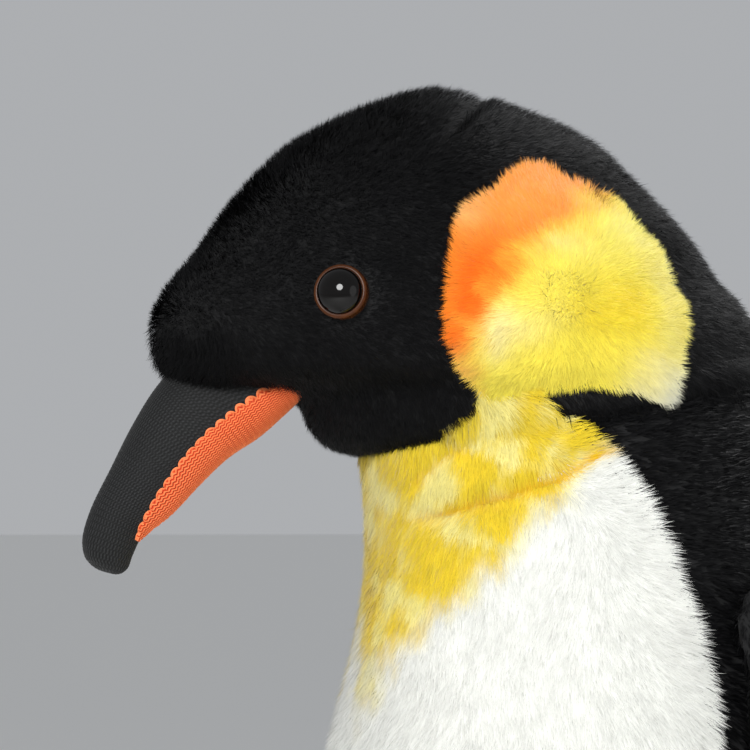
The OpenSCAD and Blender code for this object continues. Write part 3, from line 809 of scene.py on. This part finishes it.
# ---------------------------------------------------------------- beak strips
# An orange ribbed tape is sewn along each side of the lower beak. Its ribs
# run across it and end in small loops, so that its edges are toothed.
# Its groove tone is painted shade and its crest tone a painted highlight.
orange_knit = knit_material("orange_knit", (0.34, 0.012, 0.002), (0.72, 0.075, 0.014), (0.95, 0.25, 0.085))
strip_from, strip_to = 4.62, 10.9


def strip_edges(v):
    rows = [4.6, 4.8, 5.1, 5.5, 6, 7, 8, 9, 10, 11]
    return (np.interp(v, rows, [141, 137, 130, 120, 110, 102, 91, 87, 86, 88]),
            np.interp(v, rows, [146, 155, 164, 168, 171, 173, 174, 174, 174, 174]))


def tape(s, t, side):
    """Where a place on the tape lies on the beak, and how high its knit stands there."""
    reached = along(strip_from) + t * (along(strip_to) - along(strip_from))
    v = np.interp(reached, run, np.linspace(0, beak_last, 400))
    s = s if side > 0 else 1 - s
    up = along(v)
    first, last = strip_edges(v)
    # Loops along the front edge, and smaller ones along the lower edge.
    loop = (up + 0.5 * sway(np.stack([up, up * 0, up * 0], -1), 9, 62)) / 3.1
    front_loop = np.sqrt(1 - (2 * ((loop + 0.22 * s) % 1) - 1) ** 2) - 0.62
    back_loop = np.sqrt(1 - (2 * ((loop * 1.25 + 0.4) % 1) - 1) ** 2) - 0.62
    push = -0.95 * front_loop * smooth(0.35, 0, s) + 0.45 * back_loop * smooth(0.6, 1, s)
    reach = np.interp(v, np.arange(beak_last + 1), (beak_rows[:, 3] + beak_rows[:, 5]) / 2)
    taper = smooth(0, 0.06, t)
    u = first + (last - first) * s + np.degrees(push * taper / reach)
    slant = np.interp(up, [0, 12, 30, 46, 60, 70], [0, 11, 21, 23, 19, 16])
    rib = (girth(u, v) - slant + 0.26 * zigzag(up / 1.45)) / 0.86
    high = np.abs(np.sin(np.pi * rib)) ** 0.8
    # Along the front edge the knit is raised to near its crest, which lifts the loops and gives their tips
    # the crest tone as a painted highlight.
    high = np.maximum(high, 0.95 * smooth(0.045, 0.015, s))
    edge = smooth(0, 0.06, s) * smooth(1, 0.94, s)
    return beak_at(side * u, v, 0.12 + 0.95 * edge * (0.45 + 0.55 * high)), high


for side, word in ((1, "left"), (-1, "right")):
    strip = laid_on("beak_tape_" + word, 72, 390, lambda s, t, side=side: tape(s, t, side)[0])
    s_at, t_at = sheet_uv(strip.data)
    high = tape(s_at, t_at, side)[1].astype(np.float32)
    strip.data.attributes.new("rib", "FLOAT", "POINT").data.foreach_set("value", high)
    strip.data.materials.append(orange_knit)
    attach(strip, "head")
    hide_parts("beak_strip_" + word)


# ---------------------------------------------------------------- eyes
# A safety eye is a polished black dome on a clear amber ring. Its stem goes
# through the cheek into a lock washer, which the cloth hides.
dome_m, nt, b = material("black_dome", Roughness=0.06)
b.inputs["Specular IOR Level"].default_value = 0.28
colour_by(nt, b, mottle, Scale=60, Low=(0.0008, 0.0007, 0.0007, 1), High=(0.0028, 0.0018, 0.0014, 1))
ring_m, nt, b = material("amber_ring", Roughness=0.25)
b.inputs["Specular IOR Level"].default_value = 0.18
colour_by(nt, b, mottle, Scale=500, Low=(0.026, 0.007, 0.002, 1), High=(0.095, 0.027, 0.005, 1))


def turned(name, profile, steps, place):
    """A round piece spun from a profile of (radius, height) in mm, then put in place."""
    bm = bmesh.new()
    verts = [bm.verts.new((r * MM, 0, h * MM)) for r, h in profile]
    edges = [bm.edges.new(pair) for pair in zip(verts, verts[1:])]
    bmesh.ops.spin(bm, geom=verts + edges, cent=(0, 0, 0), axis=(0, 0, 1), angle=2 * math.pi, steps=steps,
                   use_merge=True)
    bmesh.ops.remove_doubles(bm, verts=bm.verts, dist=1e-6)
    bmesh.ops.transform(bm, matrix=place, verts=bm.verts)
    bmesh.ops.recalc_face_normals(bm, faces=bm.faces)
    me = bpy.data.meshes.new(name)
    bm.to_mesh(me)
    bm.free()
    me.polygons.foreach_set("use_smooth", [True] * len(me.polygons))
    ob = bpy.data.objects.new(name, me)
    bpy.context.scene.collection.objects.link(ob)
    return ob


for side, word in ((1, "left"), (-1, "right")):
    lo, hi = (Vector(c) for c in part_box("eye_iris_" + word))
    centre = (lo + hi) / 2
    axis = Vector(away(head_rows, np.array(58.5 * side), np.array(6.0)))
    stand = Matrix.Translation(centre + axis * 0.0012) @ axis.to_track_quat("Z", "Y").to_matrix().to_4x4()
    bead = [(5.3 * math.cos(a), 1.1 + 3.5 * math.sin(a)) for a in np.linspace(0, math.pi / 2, 24)]
    dome = turned("eye_bead_" + word, [(5.3, 0.6)] + bead[:-1] + [(0, 4.6)], 96, stand)
    dome.data.materials.append(dome_m)
    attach(dome, "head")
    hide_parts("eye_dome_" + word)
    lip = [(6.2 - 0.5 * (1 - math.cos(a)), 0.4 + 0.7 * math.sin(a)) for a in np.linspace(0, math.pi / 2, 6)]
    ring = turned("eye_ring_" + word, [(6.2, -1.2)] + lip + [(5.35, 1.2), (5.0, 0.7)], 96, stand)
    ring.data.materials.append(ring_m)
    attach(ring, "head")
    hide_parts("eye_iris_" + word)


# ---------------------------------------------------------------- flippers
# Each flipper is a flat stuffed pad of black plush, sewn on at the shoulder.
# Its filling swells it, most in the middle and least along the sewn edge.
def remeshed(ob, voxel, rounds):
    """Replaces a mesh by an even one, which cloth needs."""
    mod = ob.modifiers.new("join", "REMESH")
    mod.mode, mod.voxel_size = "VOXEL", voxel
    mod = ob.modifiers.new("relax", "SMOOTH")
    mod.factor, mod.iterations = 0.5, rounds
    done = bpy.data.meshes.new_from_object(ob.evaluated_get(bpy.context.evaluated_depsgraph_get()))
    ob.modifiers.clear()
    ob.data = done
    done.polygons.foreach_set("use_smooth", [True] * len(done.polygons))
    done.materials.clear()


def stuffed(ob, reach):
    """Blows a sewn skin up by cloth simulation, by at most reach in mm anywhere."""
    me = ob.data
    rest = np.empty(len(me.vertices) * 3, np.float32)
    me.vertices.foreach_get("co", rest)
    mod = ob.modifiers.new("filling", "CLOTH")
    mod.settings.quality = 5
    mod.settings.use_pressure = True
    mod.settings.uniform_pressure_force = 4
    mod.settings.effector_weights.gravity = 0
    mod.collision_settings.use_collision = False
    for step in range(1, 21):
        bpy.context.scene.frame_set(step)
    swollen = ob.evaluated_get(bpy.context.evaluated_depsgraph_get()).to_mesh()
    moved = np.empty(len(rest), np.float32)
    swollen.vertices.foreach_get("co", moved)
    ob.evaluated_get(bpy.context.evaluated_depsgraph_get()).to_mesh_clear()
    ob.modifiers.clear()
    bpy.context.scene.frame_set(1)
    shift = (moved - rest).reshape(-1, 3)
    far = np.linalg.norm(shift, axis=1, keepdims=True)
    shift *= np.minimum(1, reach * MM / np.maximum(far, 1e-9))
    me.vertices.foreach_set("co", (rest.reshape(-1, 3) + shift).reshape(-1))
    me.update()


flipper_len = 126.0
pad_rows = []
for s in np.linspace(1, 0.07, 14):
    share = 0.88 + 0.12 * math.sin(math.radians(200 * s)) if s < 0.45 else (
        0.9988 - 0.5 * ((s - 0.45) / 0.55) ** 1.6)
    wide = 21 * share
    pad_rows.append([-s * (flipper_len - 10.5), 0, 0, 3.4 * (1 - 0.25 * s), wide, wide, 0])
tip = [[-flipper_len, 0, 0, 0.02, 0.05, 0.05, 0], [-flipper_len + 1.2, 0, 0, 1.1, 4.6, 4.6, 0],
       [-flipper_len + 5, 0, 0, 2.0, 8.4, 8.4, 0]]
top = [[-4, 0, 0, 3.2, 17.2, 17.2, 0], [0, 0, 0, 2.8, 14.4, 14.4, 0], [3, 0, 0, 2.0, 9.6, 9.6, 0],
       [4.6, 0, 0, 0.02, 0.05, 0.05, 0]]
pad_rows = np.array(tip + pad_rows + top)
pad_last = len(pad_rows) - 1
for side, word in ((1, "left"), (-1, "right")):
    hinge = Vector(joints[f"flipper_{word}_lift"]["pos_m"])
    turn = Matrix.Translation(hinge) @ Matrix.Rotation(side * math.radians(30), 4, "Z") @ Matrix.Rotation(
        -side * math.radians(12), 4, "Y")

    def pad_place(s, t, side=side, turn=turn):
        u, v = 360 * s - 180, t * pad_last
        p = on_form(pad_rows, u, v) + away(pad_rows, u, np.clip(v, 0.1, pad_last - 0.1)) * 0.4 * sway(
            on_form(pad_rows, u, v), 14, 61)[:, None]
        p[:, 0] -= side * 3.6 * smooth(-26, 2, p[:, 2])
        m4 = np.array(turn)
        return (p @ m4[:3, :3].T) + m4[:3, 3] / MM

    pad = laid_on("flipper_skin_" + word, 64, 70, pad_place)
    remeshed(pad, 0.0022, 3)
    stuffed(pad, 1.1)
    pad.modifiers.new("fine", "SUBSURF").levels = 1
    dye(pad, lambda p: coloured(BLACK, p))
    pad.data.materials.append(backing)
    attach(pad, "flipper_" + word)
    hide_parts(f"flipper_{word}_outer", f"flipper_{word}_inner", f"flipper_{word}_filling")
    places, facing = seeds(pad, 2.2, rng)
    away_dir = np.array(turn)[:3, :3] @ np.array([0, 0, -1.0])
    pile("flipper_pile_" + word, "flipper_" + word, places, facing, 3.4,
         np.tile(away_dir, (len(places), 1)), 0.26, coloured(BLACK, places), black_pile, rng)


# ---------------------------------------------------------------- feet
# Each foot is a stuffed pad with three blunt toes, in black plush.
for side, word in ((1, "left"), (-1, "right")):
    lo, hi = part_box(f"foot_{word}_upper")
    mid = (lo + hi) / 2
    bm = bmesh.new()
    toes = (-12, -10, 7.0, 17, 8.5), (0, -13, 7.2, 18, 9), (12, -10, 7.0, 17, 8.5)
    for cx, cy, rx, ry, rz in ((0, 10, 15, 20, 13), *toes):
        ball = bmesh.ops.create_uvsphere(bm, u_segments=32, v_segments=20, radius=1)
        bmesh.ops.transform(bm, verts=ball["verts"], matrix=Matrix.Translation(
            (cx * MM, cy * MM, 0)) @ Matrix.Diagonal((rx * MM, ry * MM, rz * MM, 1)))
    for v in bm.verts:
        v.co.z = max(v.co.z, 0.0006)
    bmesh.ops.transform(bm, verts=bm.verts, matrix=Matrix.Translation((mid.x, mid.y, 0)) @ Matrix.Rotation(
        side * math.radians(12), 4, "Z"))
    me = bpy.data.meshes.new("foot_skin_" + word)
    bm.to_mesh(me)
    bm.free()
    ob = bpy.data.objects.new(me.name, me)
    bpy.context.scene.collection.objects.link(ob)
    remeshed(ob, 0.0015, 6)
    stuffed(ob, 0.8)
    ob.data.materials.append(backing)
    dye(ob, lambda p: coloured(BLACK, p))
    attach(ob, "torso")
    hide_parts(f"foot_{word}_upper", f"foot_{word}_filling", f"foot_{word}_sole")
    places, facing = seeds(ob, 3.2, rng, lambda p: np.where(p[:, 2] > 1.5, 1.0, 0.0))
    way = np.tile(np.array([0, -0.9, -0.35]), (len(places), 1))
    pile("foot_pile_" + word, "torso", places, facing, 2.4, way, 0.24, coloured(BLACK, places),
         black_pile, rng)


# ---------------------------------------------------------------- tail
# A short flat wedge of black plush at the bottom of the back.
low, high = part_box("tail_filling")
tail_rows = np.array([
    [-44, 0, 0, 0.02, 0.05, 0.05, 0], [-42.5, 0, 0, 5.5, 1.6, 1.6, 0], [-38, 0, 0, 9, 2.8, 2.8, 0],
    [-25, 0, 0, 13.5, 4.2, 4.2, 0], [-8, 0, 0, 18.5, 5.2, 5.2, 0], [5, 0, 0, 20, 5.6, 5.6, 0],
    [6, 0, 0, 16, 4.5, 4.5, 0], [6.4, 0, 0, 0.02, 0.05, 0.05, 0],
])
tail_turn = Matrix.Translation((0, low.y + 0.002, high.z - 0.002)) @ Matrix.Rotation(math.radians(62), 4, "X")


def tail_place(s, t):
    p = on_form(tail_rows, 360 * s - 180, t * (len(tail_rows) - 1))
    m4 = np.array(tail_turn)
    return (p @ m4[:3, :3].T) + m4[:3, 3] / MM


tail = laid_on("tail_skin", 64, 50, tail_place)
remeshed(tail, 0.0022, 3)
stuffed(tail, 1.0)
tail.modifiers.new("fine", "SUBSURF").levels = 1
dye(tail, lambda p: coloured(BLACK, p))
tail.data.materials.append(backing)
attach(tail, "torso")
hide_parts("tail_upper", "tail_lower", "tail_filling")
places, facing = seeds(tail, 2.8, rng)
way = np.tile(np.array(tail_turn)[:3, :3] @ np.array([0, 0, -1.0]), (len(places), 1))
pile("tail_pile", "torso", places, facing, 3.8, way, 0.26, coloured(BLACK, places), black_pile, rng)


# ---------------------------------------------------------------- hidden pieces
# The base cloth, the pellet bag with its pellets, the fibre and the washers.
def stuff_material(name, low, high, scale):
    m, nt, b = material(name, Roughness=0.85)
    colour_by(nt, b, mottle, Scale=scale, Low=(*low, 1), High=(*high, 1))
    return m


fibre = stuff_material("polyester_fibre", (0.62, 0.62, 0.60), (0.88, 0.88, 0.86), 300)
bag_cloth = stuff_material("bag_cloth", (0.55, 0.54, 0.50), (0.70, 0.69, 0.64), 1500)
beads = stuff_material("pellet_heap", (0.50, 0.52, 0.55), (0.85, 0.86, 0.88), 250)
nylon = stuff_material("washer_nylon", (0.70, 0.70, 0.68), (0.80, 0.80, 0.78), 40)
base_cloth = stuff_material("base_cloth", (0.006, 0.006, 0.007), (0.02, 0.02, 0.022), 1200)
hidden = {
    "base_panel": base_cloth, "pellet_bag": bag_cloth, "pellets": beads, "body_filling": fibre,
    "head_filling": fibre, "beak_filling": fibre, "eye_washer_left": nylon, "eye_washer_right": nylon,
}
for name, m in hidden.items():
    node = frame["nodes"][name]
    for i in range(len(node.material_slots)):
        node.material_slots[i].material = m


# ---------------------------------------------------------------- studio
# A plain pale floor, soft area lights and a pale surround.
scene = bpy.context.scene
bm = bmesh.new()
bmesh.ops.create_circle(bm, cap_ends=True, radius=12, segments=96)
me = bpy.data.meshes.new("floor")
bm.to_mesh(me)
bm.free()
floor = bpy.data.objects.new("floor", me)
scene.collection.objects.link(floor)
floor_m, nt, b = material("pale_floor", Roughness=0.85)
b.inputs["Base Color"].default_value = (0.86, 0.86, 0.85, 1)
me.materials.append(floor_m)
floor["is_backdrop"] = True

world = bpy.data.worlds.new("studio")
scene.world = world
world.use_nodes = True
world.node_tree.nodes["Background"].inputs["Color"].default_value = (0.80, 0.82, 0.85, 1)
world.node_tree.nodes["Background"].inputs["Strength"].default_value = 0.52

for name, spot, size, watts in (
        ("key", (1.2, -0.62, 0.85), 0.5, 15), ("fill", (1.2, 0.7, 0.5), 1.0, 2),
        ("rear", (-0.7, 0.9, 1.3), 0.8, 16)):
    lamp = bpy.data.lights.new(name, "AREA")
    lamp.shape, lamp.size, lamp.energy = "DISK", size, watts
    ob = bpy.data.objects.new(name, lamp)
    ob.location = spot
    ob.rotation_mode = "QUATERNION"
    ob.rotation_quaternion = (Vector(spot) - Vector((0, -0.02, 0.28))).to_track_quat("Z", "Y")
    scene.collection.objects.link(ob)
    ob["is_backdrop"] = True

camera = bpy.data.cameras.new("camera")
eye = bpy.data.objects.new("camera", camera)
scene.collection.objects.link(eye)
scene.camera = eye
turn, far = math.radians(82), 1.6
target = Vector((0, -0.0572, 0.3130))
back = Vector((math.sin(turn), -math.cos(turn), 0))
eye.location = target + back * far
eye.rotation_mode = "QUATERNION"
eye.rotation_quaternion = back.to_track_quat("Z", "Y")
camera.sensor_width = 36
camera.lens = 36 * far / 0.1732
camera.clip_start, camera.clip_end = 0.05, 60
scene.view_settings.view_transform = "Standard"

low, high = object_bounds()
